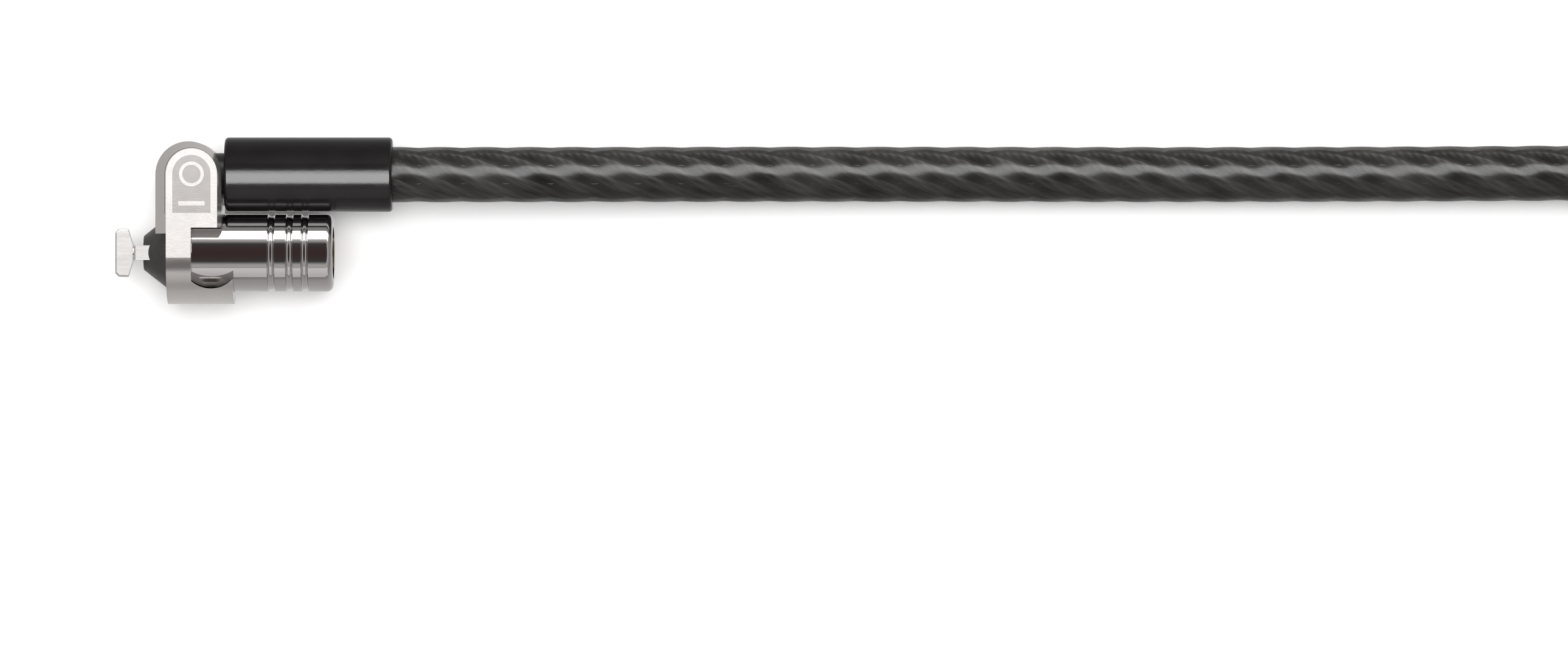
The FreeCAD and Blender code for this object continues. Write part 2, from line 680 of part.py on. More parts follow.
def route_points():
    """The cable from the boot to the coil: level out of the boot, then down to the table."""
    reach = math.sqrt(COIL_OUTSIDE_R**2 - COIL_OUTER_TURN_R**2)
    return [
        V(CABLE_START, PIVOT_Y, 0),
        V(58, PIVOT_Y, 0),
        V(100, PIVOT_Y + 0.1, CABLE_Z + 0.3),
        V(165, PIVOT_Y, CABLE_Z + 0.15),
        V(COIL_X - reach, PIVOT_Y + 0.5, FIRST_LAYER_Z),
    ]


def tail_points():
    """From the coil's top layer down to the loop's ferrule on the table."""
    heading = math.radians(FERRULE_HEADING)
    ahead = V(math.cos(heading), math.sin(heading), 0)
    return [
        V(COIL_X + 2.0, COIL_Y + COIL_OUTER_TURN_R, TOP_LAYER_Z),
        V(COIL_X + 20.0, COIL_Y + COIL_OUTER_TURN_R + 0.2, TOP_LAYER_Z - 0.2),
        FERRULE_AT - ahead * 10.7,
        FERRULE_AT + ahead * LOOP_FERRULE_LENGTH / 2,
    ]


def rounded_path(points):
    """Straight runs joined by tangent arcs, each as large as its two runs allow."""
    edges = []
    radii = []
    last = points[0]
    for before, corner, after in zip(points, points[1:], points[2:]):
        back = before - corner
        ahead = after - corner
        reach = 0.45 * min(back.Length, ahead.Length)
        turn = math.pi - back.getAngle(ahead)
        radius = reach / math.tan(turn / 2)
        back.normalize()
        ahead.normalize()
        start = corner + back * reach
        end = corner + ahead * reach
        inward = back + ahead
        inward.normalize()
        centre = corner + inward * (radius / math.cos(turn / 2))
        middle = centre - inward * radius
        edges.append(Part.LineSegment(last, start).toShape())
        edges.append(Part.Arc(start, middle, end).toShape())
        radii.append(round(radius, 1))
        last = end
    edges.append(Part.LineSegment(last, points[-1]).toShape())
    return Part.Wire(edges), radii


def round_cable(name, points):
    """A plain tube of the cable's diameter along a route."""
    path, radii = rounded_path(points)
    section = Part.Wire(Part.Circle(points[0], points[1] - points[0], CABLE_R).toShape())
    solid = path.makePipeShell([section], True, False)
    expected = math.pi * CABLE_R**2 * path.Length
    print(f"{name}: length {path.Length:.1f} radii {radii}", end=" ")
    print(f"volume over section x length {solid.Volume / expected:.5f}")
    return solid


def cable():
    return round_cable("cable", route_points())


def cable_tail():
    return round_cable("cable_tail", tail_points())


def at_ferrule(shape):
    """Moves a shape drawn along +X from the origin to where the ferrule starts."""
    moved = shape.copy()
    moved.rotate(V(0, 0, 0), Z_AXIS, FERRULE_HEADING)
    moved.translate(FERRULE_AT)
    return moved


def loop_ferrule():
    """An oval sleeve crimped on the two legs of the loop. The cable comes in on its first leg."""
    grow = CABLE_R + LOOP_FERRULE_WALL
    long = LOOP_FERRULE_LENGTH
    body = rod(0, long, grow).fuse(rod(0, long, grow, y=-LOOP_LEG_SPACING))
    body = body.fuse(block((0, -LOOP_LEG_SPACING, -grow), (long, 0, grow))).removeSplitter()
    rims = edges_where(body, lambda e: e.BoundBox.XLength < 0.01)
    body = body.makeFillet(LOOP_FERRULE_EDGE_R, rims)
    for y in (0, -LOOP_LEG_SPACING):
        body = body.cut(rod(-1, long + 1, CABLE_R, y=y))
    for start in DENT_STARTS:
        low = (start, -LOOP_LEG_SPACING - grow, grow - DENT_DEPTH)
        dent = block(low, (start + DENT_LENGTH, grow, grow + 1))
        body = body.cut(dent)
    return at_ferrule(body)


def end_loop():
    """The eye at the cable's end: out of the ferrule, round, and back into it."""
    long = LOOP_FERRULE_LENGTH
    middle_y = -LOOP_LEG_SPACING / 2
    spread = LOOP_R - LOOP_LEG_SPACING / 2
    centre_x = long + spread + 1
    legs = []
    for sign in (1, -1):
        root = V(long, middle_y + sign * LOOP_LEG_SPACING / 2, 0)
        knee = V(centre_x, middle_y + sign * LOOP_R, 0)
        legs.append((root, knee))
    far = V(centre_x + LOOP_R, middle_y, 0)
    bends = []
    for root, knee in legs:
        # an S-bend from the ferrule's direction out to the round: two equal arcs
        middle = (root + knee) * 0.5
        half = (knee - root) * 0.5
        radius = half.Length**2 / (2 * abs(half.y))
        sag = radius - math.sqrt(radius**2 - (half.Length / 2) ** 2)
        along = V(half.x, half.y, 0).normalize()
        across = V(-along.y, along.x, 0)
        out = -1 if half.y > 0 else 1
        first = Part.Arc(root, (root + middle) * 0.5 + across * (out * sag), middle).toShape()
        second = Part.Arc(middle, (middle + knee) * 0.5 - across * (out * sag), knee).toShape()
        bends.append((first, second))
    start = Part.LineSegment(V(long / 2, 0, 0), legs[0][0]).toShape()
    finish = Part.LineSegment(legs[1][0], V(1, middle_y - LOOP_LEG_SPACING / 2, 0)).toShape()
    turn = Part.Arc(legs[0][1], far, legs[1][1]).toShape()
    path = Part.Wire([start, *bends[0], turn, bends[1][1], bends[1][0], finish])
    section = Part.Wire(Part.Circle(V(long / 2, 0, 0), X_AXIS, CABLE_R).toShape())
    return at_ferrule(path.makePipeShell([section], True, False))


def coil_section(grow, low, high, width):
    """A box about the bundle of turns, on the coil's +X side."""
    inside = COIL_INNER_TURN_R - CABLE_R - grow
    outside = COIL_OUTSIDE_R + grow
    return block((inside, -width / 2, low), (outside, width / 2, high))


def coil():
    low = FLOOR_Z
    ring = Part.makeCylinder(COIL_OUTSIDE_R, COIL_TOP - low, V(0, 0, low), Z_AXIS)
    ring = ring.cut(
        Part.makeCylinder(COIL_INNER_TURN_R - CABLE_R, COIL_TOP - low + 2, V(0, 0, low - 1), Z_AXIS)
    )
    rims = edges_where(ring, lambda e: e.BoundBox.ZLength < 0.01)
    ring = ring.makeFillet(CABLE_R * COIL_EDGE, rims)
    ring = ring.cut(tie_groove()).fuse(tie_core())
    ring.translate(V(COIL_X, COIL_Y, 0))
    return ring.removeSplitter()


def tie_core():
    """The bundle as the tie squeezes it."""
    grow = -TIE_THICKNESS - TIE_GAP
    low = FLOOR_Z + TIE_THICKNESS + TIE_GAP
    core = coil_section(grow, low, COIL_TOP + grow, TIE_WIDTH + 1)
    long_edges = edges_where(core, lambda e: e.BoundBox.YLength > TIE_WIDTH)
    core = core.makeFillet(BUNDLE_CORNER_R, long_edges)
    core.rotate(V(0, 0, 0), Z_AXIS, TIE_ANGLE)
    return core


def tie_band():
    """A flat strap round the bundle, before the bundle is cut out of it."""
    band = coil_section(0, FLOOR_Z, COIL_TOP, TIE_WIDTH)
    long_edges = edges_where(band, lambda e: e.BoundBox.YLength > TIE_WIDTH - 0.1)
    band = band.makeFillet(TIE_CORNER_R, long_edges)
    band.rotate(V(0, 0, 0), Z_AXIS, TIE_ANGLE)
    return band


def tie_groove():
    past = 5
    width = TIE_WIDTH + 2 * TIE_GAP
    groove = coil_section(past, FLOOR_Z - past, COIL_TOP + past, width)
    groove.rotate(V(0, 0, 0), Z_AXIS, TIE_ANGLE)
    return groove


def cable_tie():
    band = tie_band().cut(tie_core())
    band.translate(V(COIL_X, COIL_Y, 0))
    return band


def save(name, shape):
    shape = place_on_table(shape)
    if not shape.isValid():
        print("NOT VALID:", name)
    box = shape.optimalBoundingBox()
    print(
        f"{name:18s} solids {len(shape.Solids)} volume {shape.Volume:10.2f}",
        f"x {box.XMin:7.2f}..{box.XMax:7.2f} y {box.YMin:7.2f}..{box.YMax:7.2f}",
        f"z {box.ZMin:6.2f}..{box.ZMax:6.2f}",
    )
    shape.exportStep(f"parts/{name}.step")


NODES = {
    "bracket": bracket,
    "pivot_pin": pivot_pin,
    "retaining_pin": retaining_pin,
    "pivot_washers": pivot_washers,
    "barrel_shell": barrel_shell,
    "nose_cone": nose_cone,
    "prong_fork": prong_fork,
    "stop_sleeve": stop_sleeve,
    "t_bar_spindle": t_bar_spindle,
    "stop_cam": stop_cam,
    "thrust_washer": thrust_washer,
    "key_plug": key_plug,
    "plug_screw": plug_screw,
    "tumbler_housing": tumbler_housing,
    "housing_pin": housing_pin,
    "key_pins": key_pins,
    "driver_pins": driver_pins,
    "tumbler_springs": tumbler_springs,
    "swivel_link": swivel_link,
    "crimp_ferrule": crimp_ferrule,
    "rope_end": rope_end,
    "boot": boot,
    "cable": cable,
    "cable_coil": coil,
    "cable_tie": cable_tie,
    "cable_tail": cable_tail,
    "loop_ferrule": loop_ferrule,
    "end_loop": end_loop,
}

os.makedirs("parts", exist_ok=True)
for node, make in NODES.items():
    save(node, make())
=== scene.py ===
"""The laptop cable lock on a white table, with its steel cable, coil and end loop."""
import math

import bpy
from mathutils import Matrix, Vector


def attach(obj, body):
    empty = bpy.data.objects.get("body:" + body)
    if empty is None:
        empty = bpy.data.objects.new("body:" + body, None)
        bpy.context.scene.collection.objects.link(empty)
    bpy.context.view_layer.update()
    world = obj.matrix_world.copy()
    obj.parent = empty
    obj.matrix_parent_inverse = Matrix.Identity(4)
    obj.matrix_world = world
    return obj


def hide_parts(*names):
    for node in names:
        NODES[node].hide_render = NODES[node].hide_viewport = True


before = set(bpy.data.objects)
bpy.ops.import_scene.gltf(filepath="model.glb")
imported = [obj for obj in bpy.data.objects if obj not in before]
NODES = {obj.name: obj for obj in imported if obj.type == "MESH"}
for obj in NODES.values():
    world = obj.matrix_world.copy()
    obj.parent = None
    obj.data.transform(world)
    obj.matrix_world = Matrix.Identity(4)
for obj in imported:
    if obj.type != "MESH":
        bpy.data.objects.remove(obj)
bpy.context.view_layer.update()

# --- sizes, in metres, as in the part's source
AXIS_Z = 0.0063                    # of the barrel, the boot and the cable's end in it
CABLE_R = 0.0038
ROPE_STRANDS = 6
STRAND_R = 0.00088
STRAND_HELIX_R = 0.00258
CORE_R = 0.0012
ROPE_LAY = 0.036
SKIN_SIDES = 36
SKIN_STEP = 0.00075
ROPE_EVERY = 3                     # skin steps to one step of the rope
WIRE_SIDES = 8
FLUTE_DEPTH = 0.00011
CABLE_AXIS = (0.0066, AXIS_Z)      # y, z
BOOT_MOUTH_X = 0.01895
START_INSIDE = 0.001               # from the boot's mouth back to the drawn cable's start
COIL_CENTRE = (0.23925, -0.0442)
OUTER_TURN_R = 0.0514
INNER_TURN_R = 0.0286
LOW_LAYER_Z = 0.0048
TOP_LAYER_Z = 0.0124
TURNS_PER_LAYER = 3
POINTS_PER_TURN = 24
CLIMB = 1 / 6                      # of a turn, at the inside, from one layer to the next
FERRULE_AT = Vector((0.28545, 0.0029, 0.0049))
FERRULE_HEADING = math.radians(-15)
FERRULE_LENGTH = 0.014
FERRULE_APPROACH = 0.0107          # from the route's last bend to the ferrule
LEG_SPACING = 0.0077
LOOP_R = 0.0145
LOOP_KNEE = 0.001                  # what the loop's legs run on beyond their bends
LEG_END = 0.001                    # from the ferrule's end to the second leg's
BEND_POINTS = 12
ARC_POINTS = 32
EMBLEM_FLOOR = (0.01240, 0.01250)  # heights either side of the mark's floor
EMBLEM_BEYOND_Y = 0.0012


# --- node graphs
class Graph:
    """A short way to build a material's or a world's nodes."""

    def __init__(self, tree, clear=True):
        self.tree = tree
        if clear:
            tree.nodes.clear()

    def add(self, kind, **settings):
        node = self.tree.nodes.new(kind)
        for key, value in settings.items():
            setattr(node, key, value)
        return node

    def link(self, output, target):
        self.tree.links.new(output, target)

    def place(self):
        return self.add("ShaderNodeTexCoord").outputs["Object"]

    def split(self, vector):
        node = self.add("ShaderNodeSeparateXYZ")
        self.link(vector, node.inputs["Vector"])
        return node.outputs

    def noise(self, coords, scale, detail=4.0):
        node = self.add("ShaderNodeTexNoise")
        self.link(coords, node.inputs["Vector"])
        node.inputs["Scale"].default_value = scale
        node.inputs["Detail"].default_value = detail
        node.inputs["Roughness"].default_value = 0.55
        return node.outputs["Fac"]

    def remap(self, value, low, high, start=0.3, end=0.7):
        node = self.add("ShaderNodeMapRange")
        self.link(value, node.inputs["Value"])
        node.inputs["From Min"].default_value = start
        node.inputs["From Max"].default_value = end
        node.inputs["To Min"].default_value = low
        node.inputs["To Max"].default_value = high
        return node.outputs["Result"]

    def mix(self, factor, first, second):
        node = self.add("ShaderNodeMix", data_type="RGBA")
        self.link(factor, node.inputs["Factor"])
        node.inputs["A"].default_value = (*first, 1)
        node.inputs["B"].default_value = (*second, 1)
        return node.outputs["Result"]

    def product(self, first, second):
        node = self.add("ShaderNodeMath", operation="MULTIPLY")
        self.link(first, node.inputs[0])
        self.link(second, node.inputs[1])
        return node.outputs["Value"]

    def stretched(self, coords, scale):
        node = self.add("ShaderNodeMapping")
        node.inputs["Scale"].default_value = scale
        self.link(coords, node.inputs["Vector"])
        return node.outputs["Vector"]

    def bump(self, height, distance, strength=1.0):
        node = self.add("ShaderNodeBump")
        node.inputs["Strength"].default_value = strength
        node.inputs["Distance"].default_value = distance
        self.link(height, node.inputs["Height"])
        return node.outputs["Normal"]


def shade(color, variation):
    return tuple(max(0.0, c * variation) for c in color)


def blank(name):
    """A material, its graph, and the one Principled node that it shows."""
    material = bpy.data.materials.new(name)
    material.use_nodes = True
    g = Graph(material.node_tree)
    output = g.add("ShaderNodeOutputMaterial")
    body = g.add("ShaderNodeBsdfPrincipled")
    g.link(body.outputs["BSDF"], output.inputs["Surface"])
    return material, g, body


def surface(
    name,
    color,
    metallic,
    roughness,
    spread=0.08,
    variation=0.12,
    scale=400.0,
    stretch=(1, 1, 1),
    bump=0.0,
    bump_scale=3000.0,
    specular=0.5,
):
    """A surface whose colour and gloss wander a little, with an optional fine grain."""
    material, g, body = blank(name)
    coords = g.stretched(g.place(), stretch)
    cloud = g.remap(g.noise(coords, scale), 0, 1)
    tones = (shade(color, 1 - variation), shade(color, 1 + variation))
    g.link(g.mix(cloud, *tones), body.inputs["Base Color"])
    smudge = g.noise(coords, scale * 2.3, detail=6)
    gloss = g.remap(smudge, max(0.02, roughness - spread), roughness + spread)
    g.link(gloss, body.inputs["Roughness"])
    body.inputs["Metallic"].default_value = metallic
    body.inputs["Specular IOR Level"].default_value = specular
    if bump:
        grain = g.noise(coords, bump_scale, detail=3)
        g.link(g.bump(grain, bump), body.inputs["Normal"])
    return material


def smoked_jacket(name):
    """A smoked plastic skin, partly see-through, with a soft shine."""
    material, g, body = blank(name)
    coords = g.place()
    haze = g.noise(coords, 150.0, detail=2)
    tones = ((0.006, 0.0056, 0.0054), (0.020, 0.019, 0.018))
    g.link(g.mix(g.remap(haze, 0, 1), *tones), body.inputs["Base Color"])
    g.link(g.remap(haze, 0.20, 0.28), body.inputs["Roughness"])
    body.inputs["Specular IOR Level"].default_value = 0.32
    ripple = g.noise(coords, 140.0, detail=0.0)
    g.link(g.bump(ripple, 0.0008, 0.5), body.inputs["Normal"])
    rim = g.add("ShaderNodeLayerWeight")
    rim.inputs["Blend"].default_value = 0.35
    g.link(g.remap(rim.outputs["Facing"], 0.50, 0.97, 0.0, 0.9), body.inputs["Alpha"])
    return material


def wire_rope(name):
    """Twisted bright wires: fine stripes across each strand."""
    material, g, body = blank(name)
    coords = g.place()
    wires = g.add("ShaderNodeTexWave", bands_direction="DIAGONAL")
    g.link(coords, wires.inputs["Vector"])
    wires.inputs["Scale"].default_value = 420.0
    wires.inputs["Distortion"].default_value = 1.2
    stripes = wires.outputs["Fac"]
    g.link(g.mix(stripes, (0.105, 0.103, 0.098), (0.19, 0.186, 0.18)), body.inputs["Base Color"])
    g.link(g.remap(g.noise(coords, 160.0), 0.28, 0.42), body.inputs["Roughness"])
    body.inputs["Metallic"].default_value = 0.85
    g.link(g.bump(stripes, 0.00010, 0.4), body.inputs["Normal"])
    return material


def hook_and_loop(name):
    """Black strap with a fuzzy weave."""
    material, g, body = blank(name)
    coords = g.place()
    weave = g.add("ShaderNodeTexVoronoi")
    g.link(coords, weave.inputs["Vector"])
    weave.inputs["Scale"].default_value = 1500.0
    cells = weave.outputs["Distance"]
    g.link(g.mix(cells, (0.035, 0.035, 0.037), (0.012, 0.012, 0.013)), body.inputs["Base Color"])
    g.link(g.remap(g.noise(coords, 900.0), 0.75, 0.95), body.inputs["Roughness"])
    body.inputs["Sheen Weight"].default_value = 0.35
    body.inputs["Sheen Roughness"].default_value = 0.4
    g.link(g.bump(cells, 0.0004, 0.8), body.inputs["Normal"])
    return material


def darker_inlay(material, low, high, beyond_y, tone):
    """Dulls the faces that lie between two heights on one side: the floor of the emblem."""
    g = Graph(material.node_tree, clear=False)
    body = next(n for n in g.tree.nodes if n.type == "BSDF_PRINCIPLED")
    colour = body.inputs["Base Color"].links[0].from_socket
    place = g.split(g.place())
    edge = 0.00002
    above = g.remap(place["Z"], 0, 1, low - edge, low)
    below = g.remap(place["Z"], 1, 0, high, high + edge)
    side = g.remap(place["Y"], 0, 1, beyond_y, beyond_y + edge)
    toned = g.add("ShaderNodeMix", data_type="RGBA")
    g.link(g.product(g.product(above, below), side), toned.inputs["Factor"])
    g.link(colour, toned.inputs["A"])
    toned.inputs["B"].default_value = (*tone, 1)
    g.link(toned.outputs["Result"], body.inputs["Base Color"])


NICKEL_BRACKET = surface(
    "pearl_nickel", (0.83, 0.81, 0.795), 0.8, 0.19, spread=0.02, variation=0.02,
    scale=260.0, bump=0.000004, bump_scale=5200.0,
)
darker_inlay(NICKEL_BRACKET, *EMBLEM_FLOOR, EMBLEM_BEYOND_Y, (0.50, 0.485, 0.475))
POLISHED_PLATE = surface(
    "polished_plate", (0.60, 0.585, 0.58), 1.0, 0.085, spread=0.02, variation=0.03,
    scale=180.0, stretch=(1, 6, 6),
)
# Near-black steel on the swivel link: its darkness is painted shade for the narrow gap between the
# bracket and the boot.
GAP_SHADE_LINK_STEEL = surface("link_steel_gap_shade", (0.03, 0.029, 0.028), 0.6, 0.35, scale=600.0)
GUNMETAL = surface("gunmetal", (0.085, 0.082, 0.08), 0.55, 0.38, scale=500.0, bump=0.00002)
STEEL = surface(
    "bright_steel", (0.80, 0.79, 0.775), 0.9, 0.30, variation=0.07, scale=900.0,
    stretch=(0.2, 2, 2), bump=0.0000012, bump_scale=4000.0,
)
DULL_STEEL = surface("dull_steel", (0.52, 0.52, 0.53), 1.0, 0.36, scale=700.0, stretch=(0.3, 2, 2))
BRASS = surface("turned_brass", (0.74, 0.56, 0.29), 1.0, 0.26, scale=800.0, stretch=(0.2, 3, 3))
# Near-black pivot washers: their darkness is painted shade for the same gap between the bracket
# and the boot.
GAP_SHADE_ACETAL = surface("washer_acetal_gap_shade", (0.02, 0.02, 0.02), 0.0, 0.45, variation=0.1)
ALUMINIUM = surface("crimped_aluminium", (0.72, 0.72, 0.73), 1.0, 0.33, scale=600.0)
BLACK_MOULDING = surface(
    "satin_black", (0.0032, 0.0028, 0.003), 0.0, 0.17, spread=0.02, variation=0.2,
    scale=300.0, bump=0.000006, bump_scale=4500.0, specular=0.25,
)
JACKET = smoked_jacket("smoked_jacket")
WIRE = wire_rope("rope_wires")
# The rope's core is near-black, so it shows as painted shade in the gaps between the strands.
GAP_SHADE_CORE = surface("rope_core_gap_shade", (0.035, 0.034, 0.032), 0.5, 0.5, scale=700.0)
STRAP = hook_and_loop("hook_and_loop")

FINISHES = {
    "bracket": NICKEL_BRACKET,
    "pivot_pin": DULL_STEEL,
    "retaining_pin": DULL_STEEL,
    "pivot_washers": GAP_SHADE_ACETAL,
    "barrel_shell": POLISHED_PLATE,
    "nose_cone": GUNMETAL,
    "prong_fork": STEEL,
    "stop_sleeve": DULL_STEEL,
    "t_bar_spindle": STEEL,
    "stop_cam": DULL_STEEL,
    "thrust_washer": DULL_STEEL,
    "key_plug": BRASS,
    "plug_screw": DULL_STEEL,
    "tumbler_housing": BRASS,
    "housing_pin": DULL_STEEL,
    "key_pins": DULL_STEEL,
    "driver_pins": DULL_STEEL,
    "tumbler_springs": DULL_STEEL,
    "swivel_link": GAP_SHADE_LINK_STEEL,
    "crimp_ferrule": ALUMINIUM,
    "rope_end": WIRE,
    "boot": BLACK_MOULDING,
    "cable_tie": STRAP,
    "loop_ferrule": BLACK_MOULDING,
    "end_loop": JACKET,
}
for node_name, finish in FINISHES.items():
    for place in NODES[node_name].material_slots:
        place.material = finish


# --- the cable
def arc_turns():
    """The coil from above: clockwise, in on the table layer, up, and out on the top layer."""
    out_turns = TURNS_PER_LAYER - CLIMB
    spread = OUTER_TURN_R - INNER_TURN_R
    points = []
    for i in range(2 * TURNS_PER_LAYER * POINTS_PER_TURN + 1):
        turn = i / POINTS_PER_TURN
        angle = math.pi / 2 - 2 * math.pi * turn
        if turn <= TURNS_PER_LAYER:
            radius = OUTER_TURN_R - spread * turn / TURNS_PER_LAYER
            height = LOW_LAYER_Z
        elif turn <= TURNS_PER_LAYER + CLIMB:
            part = (turn - TURNS_PER_LAYER) / CLIMB
            rise = 0.5 - 0.5 * math.cos(math.pi * part)
            radius = INNER_TURN_R
            height = LOW_LAYER_Z + (TOP_LAYER_Z - LOW_LAYER_Z) * rise
        else:
            gone = turn - TURNS_PER_LAYER - CLIMB
            radius = INNER_TURN_R + spread * gone / out_turns
            height = TOP_LAYER_Z
        # the smooth line runs a little inside its control points
        radius /= math.cos(math.pi / POINTS_PER_TURN)
        x = COIL_CENTRE[0] + radius * math.cos(angle)
        y = COIL_CENTRE[1] + radius * math.sin(angle)
        points.append(Vector((x, y, height)))
    return points


def cord_points():
    """The cable's route: out of the boot, down to the table, the coil, and on to the ferrule."""
    y, z = CABLE_AXIS
    ahead = Vector((math.cos(FERRULE_HEADING), math.sin(FERRULE_HEADING), 0))
    run = [
        Vector((BOOT_MOUTH_X - START_INSIDE, y, z)),
        Vector((0.039, y, z)),
        Vector((0.08105, y + 0.0001, 0.0041)),
        Vector((0.14605, y, 0.00395)),
        Vector((0.21912, y + 0.0005, LOW_LAYER_Z)),
    ]
    tail = [
        Vector((0.25925, 0.0074, TOP_LAYER_Z - 0.0002)),
        FERRULE_AT - ahead * FERRULE_APPROACH,
        FERRULE_AT + ahead * FERRULE_LENGTH / 2,
    ]
    return run + arc_turns() + tail


def centreline(points):
    """The points of the smooth line whose control points these are."""
    data = bpy.data.curves.new("centreline", "CURVE")
    data.dimensions = "3D"
    data.resolution_u = 12
    spline = data.splines.new("NURBS")
    spline.points.add(len(points) - 1)
    for place, point in zip(spline.points, points):
        place.co = (*point, 1)
    spline.order_u = 3
    spline.use_endpoint_u = True
    bare = bpy.data.objects.new("centreline", data)
    bpy.context.scene.collection.objects.link(bare)
    mesh = bpy.data.meshes.new_from_object(bare)
    line = [v.co.copy() for v in mesh.vertices]
    bpy.data.meshes.remove(mesh)
    bpy.data.objects.remove(bare)
    return line


def evenly(line, step):
    """The same line, as points a step apart."""
    out = [line[0].copy()]
    left = step
    for a, b in zip(line, line[1:]):
        gap = (b - a).length
        travelled = 0.0
        while gap - travelled >= left:
            travelled += left
            out.append(a.lerp(b, travelled / gap))
            left = step
        left -= gap - travelled
    out.append(line[-1].copy())
    return out


def carried_frames(line):
    """A sideways pair of directions at each point, carried along without twist."""
    frames = []
    side = None
    for i, point in enumerate(line):
        before = line[max(0, i - 1)]
        after = line[min(len(line) - 1, i + 1)]
        ahead = (after - before).normalized()
        if side is None:
            side = ahead.orthogonal().normalized()
        side = (side - ahead * side.dot(ahead)).normalized()
        frames.append((point, side, ahead.cross(side)))
    return frames


def around(point, side, up, angle, radius):
    return point + (side * math.cos(angle) + up * math.sin(angle)) * radius


def tube_faces(base, rings, sides):
    """The faces of one closed tube whose rings of points start at base."""
    faces = []
    for i in range(rings - 1):
        for k in range(sides):
            a = base + i * sides
            j = (k + 1) % sides
            faces.append((a + k, a + j, a + sides + j, a + sides + k))
    last = base + (rings - 1) * sides
    faces.append(tuple(base + k for k in reversed(range(sides))))
    faces.append(tuple(last + k for k in range(sides)))
    return faces


def mesh_object(name, verts, faces, material, smooth=True):
    mesh = bpy.data.meshes.new(name)
    mesh.from_pydata([tuple(v) for v in verts], [], faces)
    mesh.polygons.foreach_set("use_smooth", [smooth] * len(mesh.polygons))
    mesh.update()
    mesh.materials.append(material)
    obj = bpy.data.objects.new(name, mesh)
    bpy.context.scene.collection.objects.link(obj)
    return obj


def swept(name, rails, radius, material):
    """A mesh of round wires, one along each rail."""
    verts, faces = [], []
    for rail in rails:
        faces += tube_faces(len(verts), len(rail), WIRE_SIDES)
        for point, side, up in carried_frames(rail):
            for k in range(WIRE_SIDES):
                angle = 2 * math.pi * k / WIRE_SIDES
                verts.append(around(point, side, up, angle, radius))
    return mesh_object(name, verts, faces, material)


def twisted(frames):
    """Each frame with how far the rope's lay has turned there."""
    travelled = 0.0
    for i, frame_here in enumerate(frames):
        if i:
            travelled += (frame_here[0] - frames[i - 1][0]).length
        yield frame_here, 2 * math.pi * travelled / ROPE_LAY


def rope(name, frames):
    """The strands laid round a core, right-handed, along a centreline."""
    rails = []
    for strand in range(ROPE_STRANDS):
        start = 2 * math.pi * strand / ROPE_STRANDS
        rails.append([
            around(point, side, up, start + twist, STRAND_HELIX_R)
            for (point, side, up), twist in twisted(frames)
        ])
    middle = [point for point, _, _ in frames]
    return swept(name, rails, STRAND_R, WIRE), swept(name + "_core", [middle], CORE_R, GAP_SHADE_CORE)


def skin(name, frames):
    """The jacket, moulded over the strands: its surface sinks a little between them."""
    verts = []
    for (point, side, up), twist in twisted(frames):
        for k in range(SKIN_SIDES):
            angle = 2 * math.pi * k / SKIN_SIDES
            sink = 0.5 - 0.5 * math.cos(ROPE_STRANDS * (angle - twist))
            verts.append(around(point, side, up, angle, CABLE_R - FLUTE_DEPTH * sink))
    return mesh_object(name, verts, tube_faces(0, len(frames), SKIN_SIDES), JACKET)


LINE = centreline(cord_points())
FRAMES = carried_frames(evenly(LINE, SKIN_STEP))
cord = skin("cable_jacket", FRAMES)
strands, core = rope("cable_strands", FRAMES[::ROPE_EVERY])


# --- the loop's own rope, inside the skin that the frame holds
def loop_line():
    """The middle of the loop's cable, drawn along +X and then turned to the ferrule."""
    half_gap = LEG_SPACING / 2
    widening = LOOP_R - half_gap
    knee_x = FERRULE_LENGTH + widening + LOOP_KNEE

    def bend(sign):
        out = []
        for i in range(BEND_POINTS + 1):
            part = i / BEND_POINTS
            ease = 2 * part * part if part < 0.5 else 1 - 2 * (1 - part) ** 2
            x = FERRULE_LENGTH + (knee_x - FERRULE_LENGTH) * part
            out.append(Vector((x, sign * (half_gap + widening * ease) - half_gap, 0)))
        return out

    points = [Vector((FERRULE_LENGTH / 2, 0, 0))] + bend(1)
    for i in range(1, ARC_POINTS):
        angle = math.pi / 2 - math.pi * i / ARC_POINTS
        x = knee_x + LOOP_R * math.cos(angle)
        points.append(Vector((x, LOOP_R * math.sin(angle) - half_gap, 0)))
    points += reversed(bend(-1))
    points.append(Vector((LEG_END, -LEG_SPACING, 0)))
    c, s = math.cos(FERRULE_HEADING), math.sin(FERRULE_HEADING)
    return [Vector((p.x * c - p.y * s, p.x * s + p.y * c, p.z)) + FERRULE_AT for p in points]


LOOP_FRAMES = carried_frames(evenly(loop_line(), SKIN_STEP * ROPE_EVERY))
loop_strands, loop_core = rope("loop_strands", LOOP_FRAMES)

for piece, stored in (
    (cord, "cable_jacket"),
    (strands, "cable_jacket"),
    (core, "cable_jacket"),
    (loop_strands, "loop_jacket"),
    (loop_core, "loop_jacket"),
):
    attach(piece, "cable")
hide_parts("cable", "cable_coil", "cable_tail")


# --- table, light and camera
TABLE_HALF = 4.0
TABLE_DROP = 0.00005               # keeps the sheet clear of the lowest faces
LIGHTS_X = 0.05


def table_top():
    half = TABLE_HALF
    corners = [(-half, -half, 0), (half, -half, 0), (half, half, 0), (-half, half, 0)]
    sheet = surface(
        "white_sheet", (0.90, 0.90, 0.90), 0.0, 0.9, spread=0.03, variation=0.004,
        scale=30.0, specular=0.0,
    )
    obj = mesh_object("table_top", corners, [(0, 1, 2, 3)], sheet, smooth=False)
    obj.location.z = -TABLE_DROP
    # the lock mirrors the room's quiet grey from below, not the bright sheet
    obj.visible_glossy = obj.visible_diffuse = obj.visible_shadow = False
    return obj


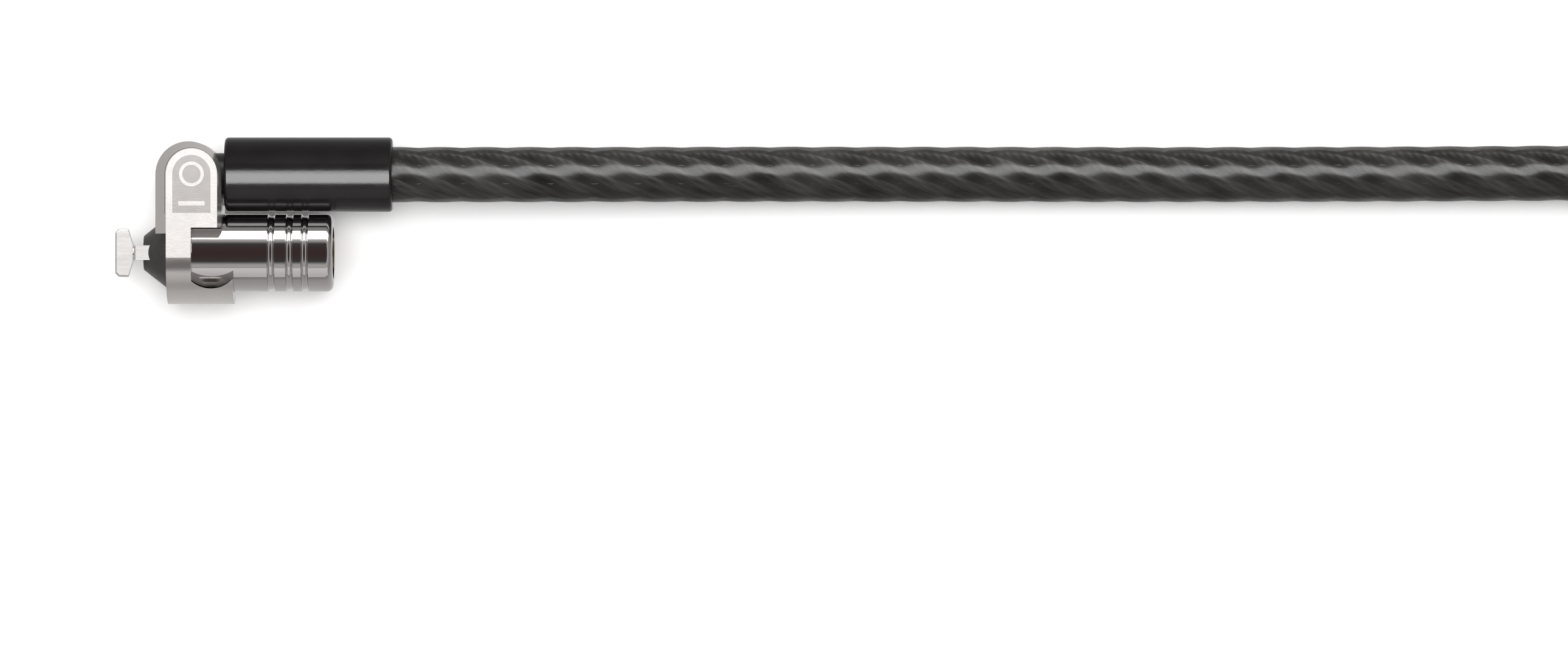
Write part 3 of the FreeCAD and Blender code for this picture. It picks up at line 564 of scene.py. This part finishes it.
def softbox(name, tilt, distance, size, power):
    """A soft light whose middle leans from straight above by tilt degrees towards +Y."""
    light = bpy.data.lights.new(name, "AREA")
    light.shape = "RECTANGLE"
    light.size, light.size_y = size
    light.energy = power
    obj = bpy.data.objects.new(name, light)
    angle = math.radians(tilt)
    obj.location = (LIGHTS_X, distance * math.sin(angle), distance * math.cos(angle))
    obj.rotation_euler = (-angle, 0, 0)
    bpy.context.scene.collection.objects.link(obj)
    return obj


def room():
    """A pale room with a dark patch straight above, where the camera hangs."""
    world = bpy.data.worlds.new("room")
    bpy.context.scene.world = world
    world.use_nodes = True
    g = Graph(world.node_tree)
    output = g.add("ShaderNodeOutputWorld")
    light = g.add("ShaderNodeBackground")
    upward = g.split(g.add("ShaderNodeTexCoord").outputs["Generated"])["Z"]
    ramp = g.add("ShaderNodeValToRGB")
    stops = ramp.color_ramp.elements
    stops[0].position, stops[0].color = 0.0, (0.62, 0.615, 0.61, 1)
    stops[1].position, stops[1].color = 1.0, (0.060, 0.038, 0.036, 1)
    for position, level in ((0.5, 0.42), (0.56, 0.32), (0.68, 0.30), (0.90, 0.55), (0.945, 0.06)):
        stop = stops.new(position)
        stop.color = (level, level * 0.97, level * 0.96, 1)
    g.link(g.remap(upward, 0, 1, -1, 1), ramp.inputs["Fac"])
    g.link(ramp.outputs["Color"], light.inputs["Color"])
    light.inputs["Strength"].default_value = 1.0
    g.link(light.outputs["Background"], output.inputs["Surface"])


table = table_top()
room()
key_light = softbox("key_light", tilt=54, distance=0.9, size=(1.6, 0.42), power=6.3)
fill_light = softbox("fill_light", tilt=-62, distance=1.1, size=(1.4, 0.6), power=1.0)
top_light = softbox("top_light", tilt=13, distance=1.0, size=(1.2, 0.5), power=3.3)
boot_strip = softbox("boot_strip_light", tilt=-8, distance=1.0, size=(1.8, 0.68), power=70.0)
cable_strip = softbox("cable_strip_light", tilt=17, distance=1.0, size=(1.8, 0.6), power=53.0)
table_light = softbox("table_light", tilt=0, distance=2.2, size=(1.8, 1.8), power=40.0)


def only_on(light, name, wanted):
    """Keeps a light to some pieces, as a flag or a grid would."""
    group = bpy.data.collections.new(name)
    for obj in wanted:
        group.objects.link(obj)
    light.light_linking.receiver_collection = group


# Each light is kept off the pieces that don't show it. The cast bracket has the top light alone,
# the plated barrel faces the dark patch, and the mouldings and the jackets have a strip each.
MOULDINGS = [NODES["boot"], NODES["loop_ferrule"]]
JACKETS = [NODES["end_loop"], cord]
BLACK_PIECES = MOULDINGS + JACKETS
BRIGHT_PIECES = [
    obj
    for obj in bpy.context.scene.objects
    if obj.type in {"MESH", "CURVE"} and obj not in BLACK_PIECES
]
cast, plated = NODES["bracket"], NODES["barrel_shell"]
beside_cast = [obj for obj in BRIGHT_PIECES if obj is not cast]
only_on(key_light, "lit_from_the_side", beside_cast)
only_on(fill_light, "filled_from_the_front", beside_cast + BLACK_PIECES)
only_on(top_light, "lit_from_above", [obj for obj in BRIGHT_PIECES if obj is not plated])
only_on(boot_strip, "glossy_mouldings", MOULDINGS)
only_on(cable_strip, "glossy_jackets", JACKETS)
only_on(table_light, "table_only", [table])

CAMERA_AIM = (0.07255, -0.0150)
CAMERA_HEIGHT = 1.5
VIEW_WIDTH = 0.2147                # at the height of the axes
SENSOR = 36.0
camera_data = bpy.data.cameras.new("camera")
camera_data.sensor_width = SENSOR
camera_data.lens = SENSOR * (CAMERA_HEIGHT - AXIS_Z) / VIEW_WIDTH
camera_data.clip_start = 0.1
camera_data.clip_end = 20.0
camera = bpy.data.objects.new("camera", camera_data)
camera.location = (*CAMERA_AIM, CAMERA_HEIGHT)
bpy.context.scene.collection.objects.link(camera)
scene = bpy.context.scene
scene.camera = camera
scene.view_settings.view_transform = "Standard"
scene.view_settings.look = "None"
scene.view_settings.exposure = 0.0
